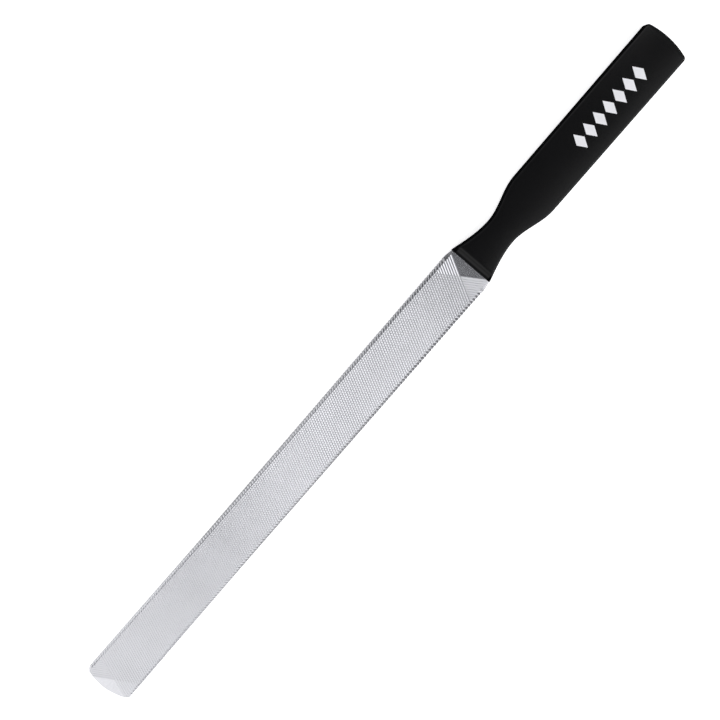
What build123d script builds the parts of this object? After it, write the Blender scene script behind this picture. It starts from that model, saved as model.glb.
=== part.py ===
"""Flat file: a double-cut steel blade held in a moulded plastic handle.

Millimetres. +X runs from the blade's tip to the handle's end, +Y across the
blade and +Z up through its faces. The origin is the middle of the object's
footprint, level with the underside of the handle.

The blade is one flat steel blank: a parallel body with bevelled edges and a
bowed tip, two shoulders that meet the handle, and a narrow tang with locking
holes. The handle is moulded round the tang, so its plastic fills the holes.
"""

import os

from build123d import *

os.makedirs("parts", exist_ok=True)

# ---------------------------------------------------------------- overall
OVERALL_LENGTH = 185.0
HANDLE_LENGTH = 59.0

# ------------------------------------------------------------------ blade
BLADE_THICKNESS = 1.6
TIP_WIDTH = 11.6
HEEL_WIDTH = 11.0
FLARE_LENGTH = 45.0  # the body widens towards the tip over this length
TIP_BOW = 1.65  # how far the middle of the tip stands ahead of its corners
TIP_CORNER_RADIUS = 0.5
BEVEL_WIDTH = 0.75  # edge bevel, measured across the face
BEVEL_DEPTH = 0.45  # edge bevel, measured through the thickness
SHOULDER_LENGTH = 2.6  # plain length between the edge teeth and the handle
SHOULDER_INSET = 0.35  # how far each shoulder draws in towards the handle

# ------------------------------------------------------------------- tang
TANG_WIDTH = 4.2
TANG_ROOT_RADIUS = 0.6
TANG_END_COVER = 16.0  # plastic beyond the end of the tang
TANG_HOLE_DIAMETER = 2.0
TANG_HOLE_COUNT = 2
TANG_HOLE_INSET = 5.0  # from the tang's end to the middle of the last hole
TANG_HOLE_PITCH = 10.0

# ----------------------------------------------------------------- handle
HANDLE_WIDTH = 10.5
HANDLE_THICKNESS = 3.2
WAIST_WIDTH = 6.45
WAIST_DISTANCE = 9.5  # from the handle's front to its narrowest place
SWELL_DISTANCE = 19.5  # from the handle's front to its full width
NECK_SLOPE = 0.30  # fall of each side per unit of length at the front
END_BOW = 0.55  # how far the middle of the end stands behind its corners
END_CORNER_RADIUS = 0.8
EDGE_RADIUS = 0.45  # rounding round the two faces
LIP_LENGTH = 0.55  # steep first slope of the front
LIP_RISE = 0.45
NOSE_LENGTH = 1.05  # gentle second slope, up to the face

# ----------------------------------------------------------- printed mark
MARK_LENGTH = 20.0
MARK_HEIGHT = 4.0
MARK_COUNT = 7
MARK_FILL = 0.8  # share of each lozenge's pitch that is printed
MARK_END_DISTANCE = 17.3  # from the handle's end to the middle of the mark
MARK_THICKNESS = 0.04

# -------------------------------------------------------- derived places
TIP_X = -OVERALL_LENGTH / 2
END_X = OVERALL_LENGTH / 2
FRONT_X = END_X - HANDLE_LENGTH
FLARE_X = TIP_X + FLARE_LENGTH
SHOULDER_X = FRONT_X - SHOULDER_LENGTH
TANG_END_X = END_X - TANG_END_COVER
MID_Z = HANDLE_THICKNESS / 2
FRONT_WIDTH = HEEL_WIDTH - 2 * SHOULDER_INSET


def edge_section(x, width):
    """Six-sided section of the blade's body at x: two faces, four bevels."""
    face = width / 2 - BEVEL_WIDTH
    land = BLADE_THICKNESS / 2 - BEVEL_DEPTH
    half = BLADE_THICKNESS / 2
    corners = [
        (-width / 2, -land),
        (-face, -half),
        (face, -half),
        (width / 2, -land),
        (width / 2, land),
        (face, half),
        (-face, half),
        (-width / 2, land),
    ]
    plane = Plane(origin=(x, 0, MID_Z), x_dir=(0, 1, 0), z_dir=(1, 0, 0))
    return plane * make_face(Polyline(*corners, close=True))


def slab(outline, thickness):
    """Closed plan outline, thickened equally to both sides of the mid-plane."""
    face = Pos(0, 0, MID_Z) * make_face(outline)
    return extrude(face, thickness / 2, both=True)


def tip_outline():
    """Plan of the body's bowed tip, carried straight back to the shoulders."""
    half = TIP_WIDTH / 2
    corner_x = TIP_X + TIP_BOW
    bow = ThreePointArc((corner_x, half), (TIP_X, 0), (corner_x, -half))
    sides = Polyline((corner_x, -half), (SHOULDER_X, -half), (SHOULDER_X, half), (corner_x, half))
    return bow + sides


def make_blade():
    """Bevelled body, drawn-in shoulders and a tang with locking holes."""
    stations = ((TIP_X, TIP_WIDTH), (FLARE_X, HEEL_WIDTH), (SHOULDER_X, HEEL_WIDTH))
    bevelled = loft([edge_section(x, width) for x, width in stations], ruled=True)
    plan = slab(tip_outline(), BLADE_THICKNESS)
    corners = plan.edges().filter_by(Axis.Z).group_by(Axis.X)[0]
    body = bevelled & fillet(corners, TIP_CORNER_RADIUS)

    shoulder = slab(
        Polyline(
            (SHOULDER_X, HEEL_WIDTH / 2),
            (FRONT_X, FRONT_WIDTH / 2),
            (FRONT_X, -FRONT_WIDTH / 2),
            (SHOULDER_X, -HEEL_WIDTH / 2),
            close=True,
        ),
        BLADE_THICKNESS,
    )
    root = TANG_WIDTH / 2 + TANG_ROOT_RADIUS
    tang = slab(
        Line((FRONT_X, -root), (FRONT_X, root))
        + RadiusArc((FRONT_X, root), (FRONT_X + TANG_ROOT_RADIUS, TANG_WIDTH / 2), -TANG_ROOT_RADIUS)
        + Polyline(
            (FRONT_X + TANG_ROOT_RADIUS, TANG_WIDTH / 2),
            (TANG_END_X, TANG_WIDTH / 2),
            (TANG_END_X, -TANG_WIDTH / 2),
            (FRONT_X + TANG_ROOT_RADIUS, -TANG_WIDTH / 2),
        )
        + RadiusArc((FRONT_X + TANG_ROOT_RADIUS, -TANG_WIDTH / 2), (FRONT_X, -root), -TANG_ROOT_RADIUS),
        BLADE_THICKNESS,
    )
    for index in range(TANG_HOLE_COUNT):
        x = TANG_END_X - TANG_HOLE_INSET - index * TANG_HOLE_PITCH
        tang -= Pos(x, 0, MID_Z) * Cylinder(TANG_HOLE_DIAMETER / 2, 2 * BLADE_THICKNESS)
    return body + shoulder + tang


def handle_side(side):
    """One long side of the handle's plan: neck, waist, swell and grip."""
    waist_x = FRONT_X + WAIST_DISTANCE
    swell_x = FRONT_X + SWELL_DISTANCE
    curve = Spline(
        (FRONT_X, side * FRONT_WIDTH / 2),
        (waist_x, side * WAIST_WIDTH / 2),
        (swell_x, side * HANDLE_WIDTH / 2),
        tangents=[(1, -side * NECK_SLOPE), (1, 0), (1, 0)],
    )
    grip = Line((swell_x, side * HANDLE_WIDTH / 2), (END_X - END_BOW, side * HANDLE_WIDTH / 2))
    return curve + grip


def front_relief():
    """What the two front slopes remove above the blade, as a solid."""
    step = (HANDLE_THICKNESS - BLADE_THICKNESS) / 2
    lip_x = FRONT_X + LIP_LENGTH
    base = BLADE_THICKNESS / 2
    profile = Polyline(
        (FRONT_X, base),
        (lip_x, base + min(LIP_RISE, step)),
        (lip_x + NOSE_LENGTH, base + step),
        (lip_x + NOSE_LENGTH, base + 2 * step),
        (FRONT_X - LIP_LENGTH, base + 2 * step),
        (FRONT_X - LIP_LENGTH, base),
        close=True,
    )
    plane = Plane(origin=(0, 0, MID_Z), x_dir=(1, 0, 0), z_dir=(0, -1, 0))
    return extrude(plane * make_face(profile), HEEL_WIDTH, both=True)


def make_handle(blade):
    """Waisted grip with rounded edges, moulded round the blade's tang."""
    half = HANDLE_WIDTH / 2
    corner_x = END_X - END_BOW
    front = Line((FRONT_X, -FRONT_WIDTH / 2), (FRONT_X, FRONT_WIDTH / 2))
    end = ThreePointArc((corner_x, half), (END_X, 0), (corner_x, -half))
    body = slab(front + handle_side(1) + end + handle_side(-1), HANDLE_THICKNESS)
    body = fillet(body.edges().filter_by(Axis.Z).group_by(Axis.X)[-1], END_CORNER_RADIUS)
    rims = [
        edge
        for face in (body.faces().sort_by(Axis.Z)[0], body.faces().sort_by(Axis.Z)[-1])
        for edge in face.edges()
        if edge.center().X > FRONT_X + EDGE_RADIUS
    ]
    body = fillet(rims, EDGE_RADIUS)
    relief = front_relief()
    body -= relief
    body -= mirror(relief, Plane(origin=(0, 0, MID_Z), z_dir=(0, 0, 1)))
    return body - blade


def make_mark():
    """Row of plain printed lozenges on the handle's upper face."""
    pitch = MARK_LENGTH / MARK_COUNT
    half_width = pitch * MARK_FILL / 2
    half_height = MARK_HEIGHT / 2
    lozenge = make_face(
        Polyline((half_width, 0), (0, half_height), (-half_width, 0), (0, -half_height), close=True)
    )
    film = extrude(lozenge, MARK_THICKNESS)
    first_x = END_X - MARK_END_DISTANCE - pitch * (MARK_COUNT - 1) / 2
    return Compound(
        children=[Pos(first_x + i * pitch, 0, HANDLE_THICKNESS) * film for i in range(MARK_COUNT)]
    )


blade = make_blade()
handle = make_handle(blade)
printed_mark = make_mark()

for name, shape in (("blade", blade), ("handle", handle), ("printed_mark", printed_mark)):
    export_step(shape, f"parts/{name}.step")
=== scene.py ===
"""Flat file: a steel blade with crossed cuts, moulded into a waisted plastic handle.

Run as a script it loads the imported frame, builds each piece round it and sets
the whole on a pale floor. Everything is in metres, in the frame's own axes: +X
from the blade's tip to the handle's end, +Y across, +Z up through the faces.
"""

import math

import bmesh
import bpy
import numpy as np
from bpy.props import FloatProperty, FloatVectorProperty, PointerProperty
from mathutils import Matrix, Vector


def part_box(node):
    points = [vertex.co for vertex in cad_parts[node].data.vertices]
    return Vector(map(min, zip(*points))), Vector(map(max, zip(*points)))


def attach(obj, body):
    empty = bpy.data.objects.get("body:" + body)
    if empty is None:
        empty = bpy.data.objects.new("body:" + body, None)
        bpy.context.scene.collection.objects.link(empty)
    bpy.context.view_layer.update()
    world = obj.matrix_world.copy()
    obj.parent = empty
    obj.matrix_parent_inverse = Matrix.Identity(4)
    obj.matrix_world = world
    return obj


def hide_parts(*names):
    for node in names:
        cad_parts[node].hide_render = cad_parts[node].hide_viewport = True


bl_info = {
    "name": "Flat File",
    "version": (1, 0, 0),
    "blender": (4, 5, 0),
    "location": "3D View > Sidebar > Flat File",
    "description": "Builds a flat file with real teeth round its packed frame",
    "category": "Add Mesh",
}

MM = 0.001
BODY = "root"

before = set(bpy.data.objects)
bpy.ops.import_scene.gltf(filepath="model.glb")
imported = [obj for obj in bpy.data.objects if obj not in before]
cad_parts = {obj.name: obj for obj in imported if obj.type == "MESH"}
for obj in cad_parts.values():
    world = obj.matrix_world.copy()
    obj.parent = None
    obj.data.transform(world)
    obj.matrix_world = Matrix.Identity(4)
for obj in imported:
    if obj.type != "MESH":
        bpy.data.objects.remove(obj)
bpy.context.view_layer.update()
BLADE_LOW, BLADE_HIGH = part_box("blade")
HANDLE_LOW, HANDLE_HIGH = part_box("handle")

TIP_X = BLADE_LOW.x
TANG_END_X = BLADE_HIGH.x
FRONT_X = HANDLE_LOW.x
END_X = HANDLE_HIGH.x
MID_Z = (BLADE_LOW.z + BLADE_HIGH.z) / 2
HALF_BLADE = (BLADE_HIGH.z - BLADE_LOW.z) / 2
HALF_HANDLE = (HANDLE_HIGH.z - HANDLE_LOW.z) / 2


def size(name, description, millimetres):
    """A length property whose default is given in millimetres."""
    return FloatProperty(
        name=name, description=description, default=millimetres * MM, unit="LENGTH", precision=6
    )


def angle(name, description, degrees):
    """An angle property whose default is given in degrees."""
    return FloatProperty(
        name=name, description=description, default=math.radians(degrees), subtype="ANGLE"
    )


def colour(name, description, value):
    """A linear colour property."""
    return FloatVectorProperty(
        name=name, description=description, default=value, subtype="COLOR", min=0.0, max=1.0
    )


class BladeSettings(bpy.types.PropertyGroup):
    tip_width: size("Tip width", "Width of the body at its tip", 11.6)
    heel_width: size("Heel width", "Width of the parallel part of the body", 11.0)
    flare_length: size("Flare", "Length over which the body widens to the tip", 45.0)
    tip_bow: size("Tip bow", "How far the middle of the tip leads its corners", 1.65)
    tip_round: size("Tip corner", "Corner radius at the tip", 0.5)
    bevel_width: size("Bevel width", "Edge bevel measured across the face", 0.75)
    bevel_depth: size("Bevel depth", "Edge bevel measured through the blade", 0.45)
    bevel_taper: FloatProperty(
        name="Bevel taper", description="Share of the bevel's width lost at the tip", default=0.35
    )
    shoulder_length: size("Shoulder", "Plain length between edge teeth and handle", 2.6)
    shoulder_inset: size("Shoulder inset", "How far each shoulder draws in", 0.35)
    tang_width: size("Tang width", "Width of the tang inside the handle", 4.2)
    pitch: size("Tooth pitch", "Distance between cuts, along the blade", 0.58)
    over_angle: angle("Overcut angle", "Angle of the last, deeper cut to the blade", 62.0)
    up_angle: angle("Upcut angle", "Angle of the first, crossing cut to the blade", 57.5)
    over_depth: size("Overcut depth", "Depth of the last cut", 0.165)
    up_depth: size("Upcut depth", "Depth of the crossing cut", 0.08)
    tip_depth: FloatProperty(
        name="Depth at tip", description="Share of the cuts' depth left at the tip", default=0.46
    )
    depth_run: size("Depth run", "Distance from the tip at which the cuts are whole", 125.0)
    first_cut: FloatProperty(
        name="First cut", description="Depth of the first overcut, over that of the next", default=1.6
    )
    over_start: size("Overcut start", "First overcut, from the tip on the centre line", 3.40)
    over_end: size("Overcut end", "Last overcut, from the tip on the centre line", 122.82)
    up_start: size("Upcut start", "First upcut, from the tip on the centre line", 3.19)
    up_end: size("Upcut end", "Last upcut, from the tip on the centre line", 123.14)
    edge_pitch: size("Edge pitch", "Distance between the cuts on the narrow edges", 0.78)
    edge_depth: size("Edge depth", "Depth of the cuts on the narrow edges", 0.28)
    edge_lean: FloatProperty(
        name="Edge lean", description="Slant of the edge cuts, run along per run across", default=0.5
    )
    steel: colour("Steel", "Reflection colour of the steel", (0.63, 0.632, 0.66))
    # The gullet colours are painted shade: the steel darkens towards the bottoms of the cuts.
    gullet: colour("Gullet", "Reflection colour at the bottom of the cuts", (0.34, 0.342, 0.357))
    edge_gullet_shade: colour("Edge gullet", "Reflection colour in the edge cuts", (0.15, 0.151, 0.155))


class HandleSettings(bpy.types.PropertyGroup):
    width: size("Width", "Width of the parallel grip", 10.5)
    waist_width: size("Waist", "Width at the narrowest place", 6.45)
    waist_distance: size("Waist distance", "From the handle's front to its waist", 9.5)
    swell_distance: size("Swell distance", "From the handle's front to its full width", 19.5)
    neck_slope: FloatProperty(
        name="Neck slope", description="Fall of each side per unit of length at the front", default=0.3
    )
    end_bow: size("End bow", "How far the middle of the end stands behind its corners", 0.55)
    end_round: size("End corner", "Corner radius at the end, seen from above", 0.8)
    edge_round: size("Edge rounding", "Rounding round the two faces", 0.45)
    lip_length: size("Lip length", "Steep first slope of the front", 0.55)
    lip_rise: size("Lip rise", "Height of the steep first slope", 0.45)
    nose_length: size("Nose length", "Gentle second slope of the front", 1.05)
    plastic: colour("Plastic", "Colour of the moulding", (0.0022, 0.0022, 0.0025))


class MarkSettings(bpy.types.PropertyGroup):
    ink: colour("Ink", "Colour of the printed lozenges", (0.80, 0.80, 0.83))


class StageSettings(bpy.types.PropertyGroup):
    camera_place: FloatVectorProperty(
        name="Camera", description="Where the camera stands", subtype="XYZ", unit="LENGTH",
        default=(38.8 * MM, 36.82 * MM, 208.1 * MM),
    )
    camera_aim: FloatVectorProperty(
        name="Aim", description="Point on the blade that the camera looks at", subtype="XYZ",
        unit="LENGTH", default=(3.6 * MM, 4.79 * MM, 2.4 * MM),
    )
    camera_roll: angle("Roll", "Turn of the camera about its line of sight", 177.694)
    lens: FloatProperty(name="Lens", description="Focal length in millimetres", default=50.0)
    floor_size: size("Floor", "Side of the square floor", 3000.0)
    floor_colour: colour("Floor colour", "Colour of the floor", (0.93, 0.93, 0.93))
    floor_glow: FloatProperty(
        name="Floor glow", description="Light sent up through the floor, as by a light table", default=0.6
    )
    horizon_colour: colour("Horizon", "Colour of the room just above the floor", (0.9, 0.9, 0.91))
    world_colour: colour("Surroundings", "Colour of the room", (0.165, 0.168, 0.175))


# A tooth's section along one pitch: the steep side ends at LEAD and the flat crest at
# LAND. The crossing cut is plain: its steep side ends where its gentle side starts.
LEAD, LAND = 0.18, 0.30
CROSS_LEAD = 0.3
# Between the edge cuts the edge is whole over this part of its pitch.
EDGE_LAND = (0.38, 0.62)

# The sheet of teeth is laid out past the cuts' ends by so many teeth, kept to the blade's
# length and a margin, and trimmed at the bowed tip by a fan of planes, just inside it.
EXTRA_TEETH = 14
SHEET_MARGIN = 1.2 * MM
TIP_PLANES = 17
EDGE_BREAK = 0.03 * MM

# The slab's base lies under the deepest ordinary cut. The body's top lies between the
# two, and it comes up to the face over a short run at the tip.
SLAB_FLOOR = 0.08 * MM
CORE_GAP = 0.05 * MM
CORE_GAP_RUN = 0.8 * MM

# The share of the edge bevel that is left at the very tip.
LEAST_BEVEL = 0.06

# The tang runs into the body and stays just inside the blade's thickness.
TANG_OVERLAP = 1.5 * MM
TANG_CLEAR = 0.02 * MM

# Points this near are merged, edges this short are dropped, and the handle's edges are
# drawn sharp past this angle.
MERGE, COLLAPSE = 0.0005 * MM, 0.0002 * MM
SHARP = math.radians(28.0)

# The handle's sheen, set by masks as painted highlight and painted shade: its strength, the band under
# each face where it fades, the run over which it fades behind the front, and the half width over which it
# fades on the front.
SHEEN = 0.2
FACE_FADE = (0.18 * MM, 0.06 * MM)
FRONT_FADE = 0.7 * MM
SIDE_FADE = (4.2 * MM, 4.5 * MM)


# ------------------------------------------------------------------ shapes


def smooth_step(value, low, high):
    """0 below low, 1 above high, and the cubic 3t^2 - 2t^3 between them."""
    t = np.clip((value - low) / (high - low), 0.0, 1.0)
    return t * t * (3.0 - 2.0 * t)


def lattice_faces(rows, columns, closed=False):
    """Quads of a grid of rows x columns points; closed joins the last column to the first."""
    row, column = np.meshgrid(
        np.arange(rows - 1), np.arange(columns if closed else columns - 1), indexing="ij"
    )
    after = (column + 1) % columns
    corners = (row * columns + column, row * columns + after)
    above = (corners[1] + columns, corners[0] + columns)
    return np.stack([*corners, *above], axis=-1).reshape(-1, 4)


def make_mesh(name, points, faces):
    """A mesh from an array of points and an array or list of faces."""
    mesh = bpy.data.meshes.new(name)
    mesh.from_pydata(points.reshape(-1, 3), [], faces.tolist() if hasattr(faces, "tolist") else faces)
    mesh.update()
    return mesh


def link(mesh):
    """An object at the origin that shows a mesh."""
    piece = bpy.data.objects.new(mesh.name, mesh)
    bpy.context.scene.collection.objects.link(piece)
    return piece


def turn_outwards(work):
    """Turns the faces of one closed shape outwards: all the same way round first, then
    all over if the volume they enclose comes out negative."""
    bmesh.ops.recalc_face_normals(work, faces=work.faces)
    if work.calc_volume(signed=True) < 0.0:
        bmesh.ops.reverse_faces(work, faces=work.faces)


def clean(mesh):
    """Merges doubled points, drops empty faces and turns the faces outwards."""
    work = bmesh.new()
    work.from_mesh(mesh)
    bmesh.ops.remove_doubles(work, verts=work.verts, dist=MERGE)
    bmesh.ops.dissolve_degenerate(work, edges=work.edges, dist=COLLAPSE)
    turn_outwards(work)
    work.to_mesh(mesh)
    work.free()


# ------------------------------------------------------------------- blade


def body_half_width(settings, x):
    """Half the body's width: constant, then growing linearly over the flare to the tip."""
    share = np.clip(1.0 - (x - TIP_X) / settings.flare_length, 0.0, 1.0)
    return (settings.heel_width + (settings.tip_width - settings.heel_width) * share) / 2


def bevel_share(settings, x):
    """Share of the full bevel width: whole along the parallel part, less at the tip."""
    share = np.clip(1.0 - (x - TIP_X) / settings.flare_length, 0.0, 1.0)
    return 1.0 - settings.bevel_taper * share


def depth_share(settings, x):
    """Share of the full depth of the cuts, growing with the square of the distance from
    the tip until the cuts are whole."""
    start = settings.tip_depth
    return start + (1.0 - start) * np.clip((x - TIP_X) / settings.depth_run, 0.0, 1.0) ** 2


def tip_lead(settings, y):
    """How far the bowed tip has fallen back at y: the bow times (y / half width) squared."""
    return settings.tip_bow * (2.0 * y / settings.tip_width) ** 2


def cut_depth(phase, teeth, depth, lead, land):
    """Depth of one set of cuts. Within a pitch it rises steeply out of the gullet over
    the lead share, stays level to the land share and falls evenly to the next gullet."""
    share = phase - np.floor(phase)
    steep = 1.0 - share / lead
    gentle = (share - land) / (1.0 - land)
    cut = depth * np.clip(np.maximum(steep, gentle), 0.0, 1.0)
    return np.where((phase <= 1e-6) & (phase >= -teeth - 1e-6), cut, 0.0)


def phases(count, shares, margin):
    """Sample phases of count teeth that end at phase 0, with margin teeth beyond each end."""
    whole = np.arange(-count - margin, margin)
    return (whole[:, None] + np.array(shares)).ravel()


def cut_face(settings):
    """One cut face as a sheet. Its grid lines follow the two sets of cuts: a point is
    where overcut line a meets upcut line b, and its depth is the deeper of the two cuts.
    y = (pitch (b - a) + upcut end - overcut end) / (cot over + cot up)
    x = pitch a + overcut end + y cot over"""
    over_cot = 1.0 / math.tan(settings.over_angle)
    up_cot = 1.0 / math.tan(settings.up_angle)
    over_teeth = round((settings.over_end - settings.over_start) / settings.pitch)
    up_teeth = round((settings.up_end - settings.up_start) / settings.pitch)
    a, b = np.meshgrid(
        phases(over_teeth, (0.0, LEAD, LAND), EXTRA_TEETH),
        phases(up_teeth, (0.0, CROSS_LEAD), EXTRA_TEETH),
        indexing="ij",
    )
    y = (settings.pitch * (b - a) + settings.up_end - settings.over_end) / (over_cot + up_cot)
    x = settings.pitch * a + settings.over_end + y * over_cot
    first = np.abs(a + over_teeth) < 1e-6
    over_depth = settings.over_depth * np.where(first, settings.first_cut, 1.0)
    depth = depth_share(settings, TIP_X + x) * np.maximum(
        cut_depth(a, over_teeth, over_depth, LEAD, LAND),
        cut_depth(b, up_teeth, settings.up_depth, CROSS_LEAD, CROSS_LEAD),
    )
    points = np.stack([TIP_X + x, y, MID_Z + HALF_BLADE - depth], axis=-1)
    faces = lattice_faces(*a.shape)
    centre = points.reshape(-1, 3)[faces].mean(axis=1)
    wanted = (
        (np.abs(centre[:, 1]) < settings.heel_width / 2)
        & (centre[:, 0] > TIP_X - SHEET_MARGIN)
        & (centre[:, 0] < FRONT_X + SHEET_MARGIN)
    )
    faces = faces[wanted]
    bare = (depth.ravel()[faces] < 1e-9).all(axis=1)
    used, faces = np.unique(faces, return_inverse=True)
    return points.reshape(-1, 3)[used], faces.reshape(-1, 4), bare


def peak_split(points, faces):
    """Cuts each quad in two along the diagonal that joins its highest and lowest corners."""
    height = points[faces][:, :, 2]
    turn = (np.abs(height[:, 0] - height[:, 2]) < np.abs(height[:, 1] - height[:, 3])).astype(int)
    rolled = np.take_along_axis(faces, (np.arange(4)[None, :] + turn[:, None]) % 4, axis=1)
    return np.concatenate([rolled[:, (0, 1, 2)], rolled[:, (0, 2, 3)]])


def trim(work, point, outward):
    """Cuts away what lies beyond a plane."""
    everything = list(work.verts) + list(work.edges) + list(work.faces)
    bmesh.ops.bisect_plane(
        work, geom=everything, dist=1e-9, plane_co=point, plane_no=outward, clear_outer=True
    )


def settle(settings, mesh, half):
    """Moves a slab's points as one array: those far below are raised to the base, and
    every y is scaled by the face's half width at its x over the half width given."""
    points = np.empty(3 * len(mesh.vertices), np.float32)
    mesh.vertices.foreach_get("co", points)
    points = points.reshape(-1, 3)
    base = MID_Z + HALF_BLADE - settings.over_depth - SLAB_FLOOR
    points[:, 2] = np.where(points[:, 2] < -0.5, base, points[:, 2])
    bevel = settings.bevel_width * bevel_share(settings, points[:, 0])
    points[:, 1] *= (body_half_width(settings, points[:, 0]) - bevel) / half
    mesh.vertices.foreach_set("co", points.ravel())
    mesh.update()


def face_slab(settings):
    """The upper cut face as a closed slab: the sheet trimmed to the face's outline, with
    walls down to a base inside the blade."""
    points, quads, bare = cut_face(settings)
    mesh = make_mesh("cut_face", points, peak_split(points, quads))
    mesh.polygons.foreach_set("material_index", np.tile(bare, 2).astype(np.int32))
    work = bmesh.new()
    work.from_mesh(mesh)
    half = settings.heel_width / 2 - settings.bevel_width
    for side in (-1, 1):
        trim(work, (0, side * half, 0), (0, side, 0))
    trim(work, (FRONT_X, 0, 0), (1, 0, 0))
    for y in np.linspace(-half, half, TIP_PLANES):
        slope = 2.0 * tip_lead(settings, y) / y if abs(y) > 1e-9 else 0.0
        trim(work, (TIP_X + EDGE_BREAK + tip_lead(settings, y), y, 0), (-1.0, slope, 0))
    rim = [edge for edge in work.edges if edge.is_boundary]
    made = bmesh.ops.extrude_edge_only(work, edges=rim)["geom"]
    lower = [part for part in made if isinstance(part, bmesh.types.BMVert)]
    bmesh.ops.translate(work, verts=lower, vec=(0, 0, -1))
    bmesh.ops.holes_fill(work, edges=[edge for edge in work.edges if edge.is_boundary], sides=0)
    turn_outwards(work)
    work.to_mesh(mesh)
    work.free()
    settle(settings, mesh, half)
    return mesh


def edge_stations(settings):
    """Places along the body: fine round the bowed tip, three to a tooth along the edges
    and a few over the shoulders. Returns x, the cut's share of its depth, and the lean."""
    tip_turn = settings.tip_bow + settings.tip_round
    tip = tip_turn * (1.0 - np.cos(np.linspace(0.0, math.pi / 2, 28)))
    toothed = FRONT_X - TIP_X - settings.shoulder_length - tip_turn
    teeth = int(toothed / settings.edge_pitch)
    share = np.array([0.0, *EDGE_LAND])
    along = tip_turn + settings.edge_pitch * (np.arange(teeth)[:, None] + share + 0.5).ravel()
    cut = np.tile([1.0, 0.0, 0.0], teeth)
    plain = np.linspace(FRONT_X - TIP_X - settings.shoulder_length, FRONT_X - TIP_X, 9)
    x = np.concatenate([tip, along, plain])
    depth = np.concatenate([0 * tip, cut, 0 * plain])
    lean = smooth_step(x, tip_turn, 3 * tip_turn)
    lean *= 1.0 - smooth_step(x, x[-1] - settings.shoulder_length, x[-1])
    return x, depth, lean


def body_outline(settings, x):
    """Half width of the body's plan x from the tip: the bow solved for y, blended with
    the flared side by the corner radius, then drawn in along the shoulder."""
    side = body_half_width(settings, TIP_X + x)
    bow = np.sqrt(np.maximum(x, 0.0) / settings.tip_bow) * settings.tip_width / 2
    soft = settings.tip_round
    blend = np.clip(0.5 + 0.5 * (bow - side) / soft, 0.0, 1.0)
    half = bow * (1 - blend) + side * blend - soft * blend * (1 - blend) / 2
    half = np.minimum(half, side)
    start = FRONT_X - TIP_X - settings.shoulder_length
    inward = smooth_step(x, start, start + 2 * settings.shoulder_length)
    return half - settings.shoulder_inset * inward * 2


def body_core(settings):
    """The blade's body under its cut faces, as a ring of section points carried along
    the stations. The ring leans with the edge cuts, which push its edge points inwards."""
    x, cut, lean = edge_stations(settings)
    half = body_outline(settings, x)
    fade = LEAST_BEVEL + (1.0 - LEAST_BEVEL) * smooth_step(x, 0.0, settings.tip_bow + settings.tip_round)
    bevel = settings.bevel_width * fade * bevel_share(settings, TIP_X + x)
    deep = depth_share(settings, TIP_X + x)
    sunk = (settings.over_depth * deep + CORE_GAP) * smooth_step(x, 0.0, CORE_GAP_RUN)
    # Across the bevel: share of its width from the face, share of its depth, and how far
    # a cut moves that point in and down.
    profile = np.array(
        [
            (0.0, 0.0, 0.0, 0.0),
            (0.16, 0.55, 0.1, 0.9),
            (0.55, 0.75, 0.3, 0.8),
            (1.0, 1.0, 0.45, 0.3),
        ]
    )
    across, down, push, sink = profile.T
    fall = settings.bevel_depth * fade * bevel_share(settings, TIP_X + x) ** 2
    drop = np.maximum(fall[:, None] * down, sunk[:, None])
    reach = (settings.edge_depth * deep * cut)[:, None]
    out = np.maximum(half[:, None] - bevel[:, None] * (1.0 - across) - reach * push, 0.0)
    up = HALF_BLADE - drop - reach * sink
    out = np.concatenate([out, out[:, ::-1]], axis=1)
    up = np.concatenate([up, -up[:, ::-1]], axis=1)
    across = np.concatenate([across, across[::-1]])
    slant = settings.edge_lean * settings.bevel_width * lean[:, None] * across
    near = np.stack([x[:, None] + slant + TIP_X, out, MID_Z + up], axis=-1)
    far = (near * np.array([1.0, -1.0, 1.0]))[:, ::-1]
    ring = np.concatenate([near, far], axis=1)
    count = ring.shape[1]
    faces = lattice_faces(len(x), count, closed=True).tolist()
    faces.append(list(range(count)))
    last = (len(x) - 1) * count
    faces.append(list(range(last + count - 1, last - 1, -1)))
    mesh = make_mesh("body_core", ring, faces)
    plain = np.repeat(x[:-1] >= x[-1] - settings.shoulder_length - 1e-9, count)
    mesh.polygons.foreach_set("material_index", np.append(3 - plain, [3, 3]).astype(np.int32))
    clean(mesh)
    return mesh


def block(name, low, high):
    """A closed box between two corners."""
    corners = np.stack(np.meshgrid(*zip(low, high), indexing="ij"), axis=-1).reshape(-1, 3)
    faces = [(0, 1, 3, 2), (4, 6, 7, 5), (0, 4, 5, 1), (2, 3, 7, 6), (0, 2, 6, 4), (1, 5, 7, 3)]
    mesh = make_mesh(name, corners, faces)
    mesh.polygons.foreach_set("material_index", np.ones(6, np.int32))
    return mesh


def join(name, meshes):
    """One mesh from several, with their material indices."""
    work = bmesh.new()
    for mesh in meshes:
        work.from_mesh(mesh)
        bpy.data.meshes.remove(mesh)
    joined = bpy.data.meshes.new(name)
    work.to_mesh(joined)
    work.free()
    return joined


# ------------------------------------------------------------------ handle


def hermite(t, start, end, start_slope, end_slope, length):
    """Cubic between two values with the given slopes at its ends."""
    t2, t3 = t * t, t * t * t
    return (
        (2 * t3 - 3 * t2 + 1) * start
        + (t3 - 2 * t2 + t) * length * start_slope
        + (3 * t2 - 2 * t3) * end
        + (t3 - t2) * length * end_slope
    )


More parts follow.
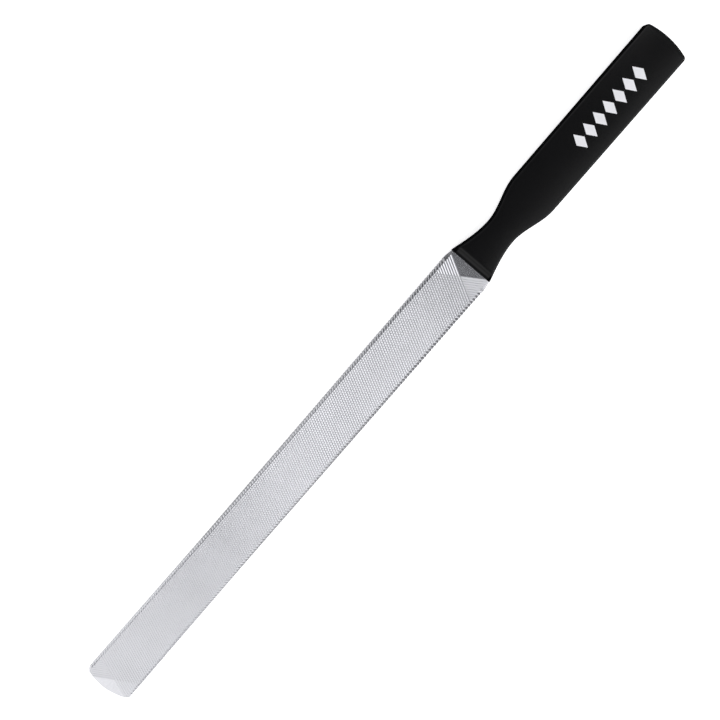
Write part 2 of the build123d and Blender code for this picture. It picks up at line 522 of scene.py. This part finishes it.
def handle_side(settings, front_half):
    """Half outline of the handle's plan as points from its front to the middle of its
    end: a cubic down to the waist, a cubic up to the grip, the straight grip, a corner
    arc, and the bowed end, where x falls back as the bow times (y / half width) squared."""
    half, waist = settings.width / 2, settings.waist_width / 2
    slopes = np.array([0.0, settings.lip_length, settings.lip_length + settings.nose_length])
    neck = np.linspace(slopes[-1], settings.waist_distance, 24)[1:]
    swell = np.linspace(settings.waist_distance, settings.swell_distance, 32)[1:]
    lip, nose = np.linspace(0, slopes[1], 4), np.linspace(slopes[1], slopes[2], 5)[1:]
    x = np.concatenate([lip, nose, neck])
    run = settings.waist_distance
    y = hermite(x / run, front_half, waist, -settings.neck_slope, 0.0, run)
    rise = settings.swell_distance - settings.waist_distance
    y_swell = hermite((swell - settings.waist_distance) / rise, waist, half, 0.0, 0.0, rise)
    length = END_X - FRONT_X
    radius = settings.end_round
    centre = np.array([length - settings.end_bow - radius, half - radius])
    slope = 2.0 * settings.end_bow / half
    stop = math.pi / 2 - math.atan(slope)
    turn = np.linspace(0.0, stop, 12)
    grip_x = np.linspace(settings.swell_distance, centre[0], 20)[1:]
    corner = np.stack([centre[0] + radius * np.sin(turn), centre[1] + radius * np.cos(turn)], axis=-1)
    last_y = corner[-1, 1]
    end_y = np.linspace(last_y, 0.0, 14)[1:]
    bow = corner[-1, 0] + (length - corner[-1, 0]) * (1.0 - (end_y / last_y) ** 2)
    outline = np.concatenate(
        [
            np.stack([x, y], axis=-1),
            np.stack([swell, y_swell], axis=-1),
            np.stack([grip_x, np.full_like(grip_x, half)], axis=-1),
            corner[1:],
            np.stack([bow, end_y], axis=-1),
        ]
    )
    return outline + np.array([FRONT_X, 0.0])


def outline_normals(outline):
    """Outward unit normals of a half outline, straight along X at the middle of the end."""
    along = np.gradient(outline, axis=0)
    normal = np.stack([-along[:, 1], along[:, 0]], axis=-1)
    normal /= np.linalg.norm(normal, axis=1, keepdims=True)
    normal *= np.where(normal[:, 1:] < 0, -1.0, 1.0)
    normal[-1] = (1.0, 0.0)
    return normal


def handle_shell(settings, front_half):
    """The handle as rings carried along its half outline. Each ring steps inwards from
    the outline by the rounding's radius less its cosine, and its height is held under
    the two slopes of the front."""
    outline = handle_side(settings, front_half)
    normal = outline_normals(outline)
    radius = settings.edge_round
    turn = np.linspace(0.0, math.pi / 2, 9)
    inset = np.concatenate([radius * (1.0 - np.sin(turn)), [0.0]])
    height = np.concatenate([HALF_HANDLE - radius * (1.0 - np.cos(turn)), [0.0]])
    inset = np.concatenate([inset, inset[-2::-1]])
    height = np.concatenate([height, -height[-2::-1]])
    plan = outline[:, None, :] - normal[:, None, :] * inset[None, :, None]
    plan[:, :, 1] = np.maximum(plan[:, :, 1], 0.0)
    plan[0, :, 0] = FRONT_X
    along = plan[:, :, 0] - FRONT_X
    lip_x, nose_x = settings.lip_length, settings.lip_length + settings.nose_length
    lip_z = HALF_BLADE + settings.lip_rise
    limit = np.interp(along, [0.0, lip_x, nose_x], [HALF_BLADE, lip_z, HALF_HANDLE])
    z = np.clip(np.broadcast_to(height, along.shape), -limit, limit)
    near = np.stack([plan[:, :, 0], plan[:, :, 1], MID_Z + z], axis=-1)
    far = near[:, ::-1] * np.array([1.0, -1.0, 1.0])
    ring = np.concatenate([near, far], axis=1)
    count = ring.shape[1]
    faces = lattice_faces(len(outline), count, closed=True).tolist()
    faces.append(list(range(count)))
    mesh = make_mesh("handle_shell", ring, faces)
    clean(mesh)
    return mesh


# --------------------------------------------------------------- materials


class Nodes:
    """Short hand for building a node tree."""

    def __init__(self, tree):
        self.tree = tree

    def add(self, kind, **values):
        """A node of a kind, with its plain properties and unlinked inputs set by name."""
        node = self.tree.nodes.new(kind)
        inputs = values.pop("inputs", {})
        for key, value in values.items():
            setattr(node, key, value)
        for key, value in inputs.items():
            if isinstance(value, bpy.types.NodeSocket):
                self.tree.links.new(value, node.inputs[key])
            else:
                node.inputs[key].default_value = value
        return node

    def math(self, operation, *values):
        """The result of a Math node."""
        node = self.add("ShaderNodeMath", operation=operation)
        for socket, value in zip(node.inputs, values):
            if isinstance(value, bpy.types.NodeSocket):
                self.tree.links.new(value, socket)
            else:
                socket.default_value = value
        return node.outputs[0]

    def ramp(self, value, low, high, to_low=0.0, to_high=1.0):
        """A value mapped smoothly from one range to another."""
        node = self.add(
            "ShaderNodeMapRange",
            interpolation_type="SMOOTHSTEP",
            inputs={
                "Value": value, "From Min": low, "From Max": high, "To Min": to_low, "To Max": to_high
            },
        )
        return node.outputs["Result"]

    def mix(self, share, first, second):
        """Two colours mixed by a share."""
        node = self.add("ShaderNodeMix", data_type="RGBA", inputs={0: share, 6: first, 7: second})
        return node.outputs[2]


def new_group(name, inputs, outputs):
    """An empty shader node group with float or vector inputs and named outputs."""
    tree = bpy.data.node_groups.new(name, "ShaderNodeTree")
    for label, kind, default in inputs:
        socket = tree.interface.new_socket(label, in_out="INPUT", socket_type=kind)
        if default is not None:
            socket.default_value = default
    for label, kind in outputs:
        tree.interface.new_socket(label, in_out="OUTPUT", socket_type=kind)
    nodes = Nodes(tree)
    return nodes, nodes.add("NodeGroupInput"), nodes.add("NodeGroupOutput")


def grain_group():
    """Grain: noise stretched along the blade, as grinding leaves it, or even in all
    directions. Gives one value for tone and one for relief."""
    name = "surface_grain"
    if name in bpy.data.node_groups:
        return bpy.data.node_groups[name]
    nodes, source, target = new_group(
        name,
        [
            ("Stretch", "NodeSocketVector", (1.0, 1.0, 1.0)),
            ("Fineness", "NodeSocketFloat", 8000.0),
            ("Cloud Size", "NodeSocketFloat", 120.0),
        ],
        [("Tone", "NodeSocketFloat"), ("Relief", "NodeSocketFloat")],
    )
    place = nodes.add("ShaderNodeTexCoord").outputs["Object"]
    stretched = nodes.add(
        "ShaderNodeVectorMath", operation="MULTIPLY", inputs={0: place, 1: source.outputs["Stretch"]}
    ).outputs[0]
    fine = nodes.add(
        "ShaderNodeTexNoise",
        inputs={"Vector": stretched, "Scale": source.outputs["Fineness"], "Detail": 3.0},
    ).outputs["Fac"]
    cloud = nodes.add(
        "ShaderNodeTexNoise", inputs={"Vector": place, "Scale": source.outputs["Cloud Size"], "Detail": 2.0}
    ).outputs["Fac"]
    tone = nodes.math("ADD", nodes.math("MULTIPLY", fine, 0.5), nodes.math("MULTIPLY", cloud, 0.5))
    nodes.tree.links.new(tone, target.inputs["Tone"])
    nodes.tree.links.new(fine, target.inputs["Relief"])
    return nodes.tree


# The crest mask places painted shade: the steel darkens towards the bottom of each cut.
def crest_group():
    """Crest: how near a point is to the level of the uncut faces, measured both ways
    from the middle of the blade. 0 at the bottom of a cut, 1 at the level of the face."""
    name = "tooth_crest"
    if name in bpy.data.node_groups:
        return bpy.data.node_groups[name]
    nodes, source, target = new_group(
        name,
        [
            ("Middle", "NodeSocketFloat", 0.0),
            ("Level", "NodeSocketFloat", 1.0),
            ("Depth", "NodeSocketFloat", 1.0),
        ],
        [("Crest", "NodeSocketFloat")],
    )
    place = nodes.add("ShaderNodeTexCoord").outputs["Object"]
    z = nodes.add("ShaderNodeSeparateXYZ", inputs={0: place}).outputs["Z"]
    away = nodes.math("ABSOLUTE", nodes.math("SUBTRACT", z, source.outputs["Middle"]))
    below = nodes.math("SUBTRACT", source.outputs["Level"], away)
    share = nodes.math("DIVIDE", below, source.outputs["Depth"])
    crest = nodes.ramp(share, 0.5, 1.0, 1.0, 0.0)
    nodes.tree.links.new(crest, target.inputs["Crest"])
    return nodes.tree


def principled(name):
    """A new material's node helper and its Principled shader."""
    material = bpy.data.materials.new(name)
    material.use_nodes = True
    material.node_tree.nodes.clear()
    nodes = Nodes(material.node_tree)
    shader = nodes.add("ShaderNodeBsdfPrincipled")
    nodes.add("ShaderNodeOutputMaterial", inputs={"Surface": shader.outputs["BSDF"]})
    return material, nodes, shader


def grouped(nodes, tree, **inputs):
    """A group node with its inputs set by name."""
    node = nodes.add("ShaderNodeGroup", node_tree=tree)
    for key, value in inputs.items():
        node.inputs[key.replace("_", " ")].default_value = value
    return node


def opaque(rgb):
    """A colour with full alpha."""
    return (*rgb, 1.0)


def cut_steel(settings, name, gullet, depth):
    """Cut steel: the gullet's colour a given depth below the face, blended to the steel's colour
    at the crests. The darkening towards the bottom of the cuts is painted shade."""
    material, nodes, shader = principled(name)
    crest = grouped(
        nodes, crest_group(), Middle=MID_Z, Level=HALF_BLADE, Depth=depth
    ).outputs["Crest"]
    grain = grouped(nodes, grain_group(), Stretch=(1.0, 1.0, 1.0), Fineness=9000.0, Cloud_Size=90.0)
    tone = nodes.ramp(grain.outputs["Tone"], 0.3, 0.7, 0.9, 1.0)
    base = nodes.mix(crest, opaque(gullet), opaque(settings.steel))
    shade = nodes.add(
        "ShaderNodeVectorMath", operation="SCALE", inputs={0: base, "Scale": tone}
    ).outputs[0]
    nodes.tree.links.new(shade, shader.inputs["Base Color"])
    shader.inputs["Metallic"].default_value = 1.0
    rough = nodes.ramp(grain.outputs["Tone"], 0.3, 0.7, 0.29, 0.36)
    nodes.tree.links.new(rough, shader.inputs["Roughness"])
    return material


def ground_steel(settings, name, share):
    """Ground steel: fine scratches along the blade and a low, even sheen, with a share
    of the cut steel's brightness."""
    material, nodes, shader = principled(name)
    grain = grouped(nodes, grain_group(), Stretch=(0.05, 1.0, 1.0), Fineness=14000.0, Cloud_Size=160.0)
    low, high = (tuple(part * share * channel for channel in settings.steel) for part in (0.86, 1.0))
    base = nodes.mix(nodes.ramp(grain.outputs["Tone"], 0.3, 0.7), opaque(low), opaque(high))
    nodes.tree.links.new(base, shader.inputs["Base Color"])
    shader.inputs["Metallic"].default_value = 1.0
    rough = nodes.ramp(grain.outputs["Tone"], 0.3, 0.7, 0.16, 0.22)
    nodes.tree.links.new(rough, shader.inputs["Roughness"])
    bump = nodes.add(
        "ShaderNodeBump",
        inputs={"Strength": 0.05, "Distance": 0.004 * MM, "Height": grain.outputs["Relief"]},
    )
    nodes.tree.links.new(bump.outputs["Normal"], shader.inputs["Normal"])
    return material


def moulded_plastic(settings):
    """Moulded plastic: near black with a fine satin grain. Its faces and front slopes have a low sheen,
    placed by masks as a painted highlight; the sides and lower rounding get none, as painted shade."""
    material, nodes, shader = principled("moulded_plastic")
    grain = grouped(nodes, grain_group(), Stretch=(1.0, 1.0, 1.0), Fineness=7000.0, Cloud_Size=70.0)
    high = tuple(1.25 * channel for channel in settings.plastic)
    share = nodes.ramp(grain.outputs["Tone"], 0.3, 0.7)
    base = nodes.mix(share, opaque(settings.plastic), opaque(high))
    nodes.tree.links.new(base, shader.inputs["Base Color"])
    rough = nodes.ramp(grain.outputs["Tone"], 0.3, 0.7, 0.19, 0.24)
    nodes.tree.links.new(rough, shader.inputs["Roughness"])
    # These masks place the sheen: painted highlight on the faces and front slopes, painted shade on the
    # sides.
    place = nodes.add("ShaderNodeTexCoord").outputs["Object"]
    axes = nodes.add("ShaderNodeSeparateXYZ", inputs={0: place}).outputs
    away = nodes.math("ABSOLUTE", nodes.math("SUBTRACT", axes["Z"], MID_Z))
    top = nodes.ramp(away, HALF_HANDLE - FACE_FADE[0], HALF_HANDLE - FACE_FADE[1])
    front_end = FRONT_X + settings.lip_length + settings.nose_length
    front = nodes.ramp(axes["X"], front_end - FRONT_FADE, front_end, 1.0, 0.0)
    beside = nodes.ramp(nodes.math("ABSOLUTE", axes["Y"]), *SIDE_FADE, 1.0, 0.0)
    painted_sheen_mask = nodes.math("MAXIMUM", top, nodes.math("MULTIPLY", front, beside))
    sheen = nodes.math("MULTIPLY", painted_sheen_mask, SHEEN)
    nodes.tree.links.new(sheen, shader.inputs["Specular IOR Level"])
    bump = nodes.add(
        "ShaderNodeBump",
        inputs={"Strength": 0.25, "Distance": 0.01 * MM, "Height": grain.outputs["Relief"]},
    )
    nodes.tree.links.new(bump.outputs["Normal"], shader.inputs["Normal"])
    return material


def print_ink(settings):
    """Pad-printed ink: an even pale coat with faint mottling."""
    material, nodes, shader = principled("print_ink")
    grain = grouped(nodes, grain_group(), Stretch=(1.0, 1.0, 1.0), Fineness=12000.0, Cloud_Size=500.0)
    low = tuple(0.93 * channel for channel in settings.ink)
    share = nodes.ramp(grain.outputs["Tone"], 0.35, 0.65)
    base = nodes.mix(share, opaque(low), opaque(settings.ink))
    nodes.tree.links.new(base, shader.inputs["Base Color"])
    rough = nodes.ramp(grain.outputs["Tone"], 0.3, 0.7, 0.4, 0.5)
    nodes.tree.links.new(rough, shader.inputs["Roughness"])
    return material


def pale_floor(settings):
    """A plain, pale, matt floor, lit a little from below."""
    material, _, shader = principled("pale_floor")
    shader.inputs["Base Color"].default_value = opaque(settings.floor_colour)
    shader.inputs["Roughness"].default_value = 0.9
    shader.inputs["Specular IOR Level"].default_value = 0.1
    shader.inputs["Emission Color"].default_value = opaque(settings.floor_colour)
    shader.inputs["Emission Strength"].default_value = settings.floor_glow
    return material


# --------------------------------------------------------------- operators


class FLATFILE_OT_blade(bpy.types.Operator):
    """Build the blade: toothed body, shoulders and tang"""

    bl_idname = "flatfile.blade"
    bl_label = "Blade"

    def execute(self, context):
        settings = context.scene.flat_file_blade
        upper = face_slab(settings)
        lower = upper.copy()
        over = Matrix.Translation((0, 0, MID_Z)) @ Matrix.Rotation(math.pi, 4, "X")
        lower.transform(over @ Matrix.Translation((0, 0, -MID_Z)))
        tang_half = settings.tang_width / 2
        tang = block(
            "tang",
            (FRONT_X - TANG_OVERLAP, -tang_half, BLADE_LOW.z + TANG_CLEAR),
            (TANG_END_X, tang_half, BLADE_HIGH.z - TANG_CLEAR),
        )
        mesh = join("file_blade", [body_core(settings), upper, lower, tang])
        mesh.materials.append(cut_steel(settings, "cut_steel", settings.gullet, settings.over_depth))
        mesh.materials.append(ground_steel(settings, "ground_steel", 1.0))
        # The shoulders take the ground steel at 0.6 of its brightness: painted shade on the plain
        # shoulders.
        mesh.materials.append(ground_steel(settings, "shoulder_steel_painted_shade", 0.6))
        # edge_steel darkens the bevels and edge cuts towards the middle of the blade's thickness: painted
        # shade.
        edge_bottom = settings.bevel_depth + settings.edge_depth / 2
        mesh.materials.append(cut_steel(settings, "edge_steel", settings.edge_gullet_shade, edge_bottom))
        piece = link(mesh)
        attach(piece, BODY)
        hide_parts("blade")
        return {"FINISHED"}


class FLATFILE_OT_handle(bpy.types.Operator):
    """Build the moulded handle"""

    bl_idname = "flatfile.handle"
    bl_label = "Handle"

    def execute(self, context):
        settings = context.scene.flat_file_handle
        blade = context.scene.flat_file_blade
        front_half = blade.heel_width / 2 - blade.shoulder_inset
        mesh = handle_shell(settings, front_half)
        mesh.name = "file_handle"
        mesh.materials.append(moulded_plastic(settings))
        piece = link(mesh)
        piece.name = "file_handle"
        mesh.shade_smooth()
        mesh.set_sharp_from_angle(angle=SHARP)
        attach(piece, BODY)
        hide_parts("handle")
        return {"FINISHED"}


class FLATFILE_OT_mark(bpy.types.Operator):
    """Give the printed lozenges their ink"""

    bl_idname = "flatfile.mark"
    bl_label = "Printed mark"

    def execute(self, context):
        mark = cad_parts["printed_mark"]
        mark.material_slots[0].material = print_ink(context.scene.flat_file_mark)
        return {"FINISHED"}


def soft_light(name, place, aim, wide, tall, radiance):
    """A soft rectangular light that faces a point, its wide side level. Its power is its
    radiance times pi times its area."""
    place = Vector(place)
    data = bpy.data.lights.new(name, "AREA")
    data.shape = "RECTANGLE"
    data.size, data.size_y = wide, tall
    data.energy = radiance * math.pi * wide * tall
    lamp = bpy.data.objects.new(name, data)
    lamp.location = place
    lamp.rotation_euler = (Vector(aim) - place).to_track_quat("-Z", "Y").to_euler()
    bpy.context.scene.collection.objects.link(lamp)


def room(settings):
    """A grey room above a pale band at the horizon."""
    world = bpy.data.worlds.new("room")
    world.use_nodes = True
    nodes = Nodes(world.node_tree)
    direction = nodes.add("ShaderNodeTexCoord").outputs["Generated"]
    height = nodes.add("ShaderNodeSeparateXYZ", inputs={0: direction}).outputs["Z"]
    share = nodes.ramp(height, 0.07, 0.15)
    tone = nodes.mix(share, opaque(settings.horizon_colour), opaque(settings.world_colour))
    nodes.tree.links.new(tone, world.node_tree.nodes["Background"].inputs["Color"])
    return world


class FLATFILE_OT_stage(bpy.types.Operator):
    """Set the file on a pale floor under soft light, with the camera above it"""

    bl_idname = "flatfile.stage"
    bl_label = "Stage"

    def execute(self, context):
        settings = context.scene.flat_file_stage
        reach = settings.floor_size / 2
        corners = reach * np.array([(-1, -1, 0), (1, -1, 0), (1, 1, 0), (-1, 1, 0)])
        floor = link(make_mesh("floor", corners, [(0, 1, 2, 3)]))
        floor.data.materials.append(pale_floor(settings))

        soft_light("tip_light", (-0.32, 0.0, 0.42), (-0.15, 0, 0), 0.84, 0.5, 1.17)
        soft_light("end_light", (0.28, 0.15, 0.52), (0, 0, 0), 0.36, 0.27, 1.75)
        soft_light("side_light", (0.34, -0.38, 0.44), (0.34, 0, 0), 0.64, 0.5, 1.95)
        soft_light("bridge_light", (-0.01, -0.25, 0.45), (0, 0, 0), 0.2, 0.16, 1.35)
        soft_light("near_light", (-0.05, 0.45, 0.56), (0, 0, 0), 0.9, 0.22, 0.8)
        soft_light("far_light", (0.0, -0.77, 0.22), (0, 0, 0), 1.2, 0.24, 2.4)

        context.scene.world = room(settings)
        context.scene.view_settings.view_transform = "Standard"

        data = bpy.data.cameras.new("camera")
        data.lens = settings.lens
        data.clip_start, data.clip_end = 0.01, 10.0
        camera = bpy.data.objects.new("camera", data)
        place, aim = Vector(settings.camera_place), Vector(settings.camera_aim)
        track = (aim - place).to_track_quat("-Z", "Y")
        roll = Matrix.Rotation(settings.camera_roll, 4, "Z")
        camera.matrix_world = Matrix.Translation(place) @ track.to_matrix().to_4x4() @ roll
        context.scene.collection.objects.link(camera)
        context.scene.camera = camera
        return {"FINISHED"}


class FLATFILE_PT_panel(bpy.types.Panel):
    """Lists the file's pieces and its stage"""

    bl_label = "Flat File"
    bl_idname = "FLATFILE_PT_panel"
    bl_space_type = "VIEW_3D"
    bl_region_type = "UI"
    bl_category = "Flat File"

    def draw(self, context):
        for operator in OPERATORS:
            self.layout.operator(operator.bl_idname)


SETTINGS = {
    "flat_file_blade": BladeSettings,
    "flat_file_handle": HandleSettings,
    "flat_file_mark": MarkSettings,
    "flat_file_stage": StageSettings,
}
OPERATORS = (FLATFILE_OT_blade, FLATFILE_OT_handle, FLATFILE_OT_mark, FLATFILE_OT_stage)


def register():
    for name, group in SETTINGS.items():
        bpy.utils.register_class(group)
        setattr(bpy.types.Scene, name, PointerProperty(type=group))
    for operator in OPERATORS:
        bpy.utils.register_class(operator)
    bpy.utils.register_class(FLATFILE_PT_panel)


def unregister():
    bpy.utils.unregister_class(FLATFILE_PT_panel)
    for operator in reversed(OPERATORS):
        bpy.utils.unregister_class(operator)
    for name, group in SETTINGS.items():
        delattr(bpy.types.Scene, name)
        bpy.utils.unregister_class(group)


def main():
    register()
    bpy.ops.flatfile.blade()
    bpy.ops.flatfile.handle()
    bpy.ops.flatfile.mark()
    bpy.ops.flatfile.stage()


if __name__ == "__main__":
    main()
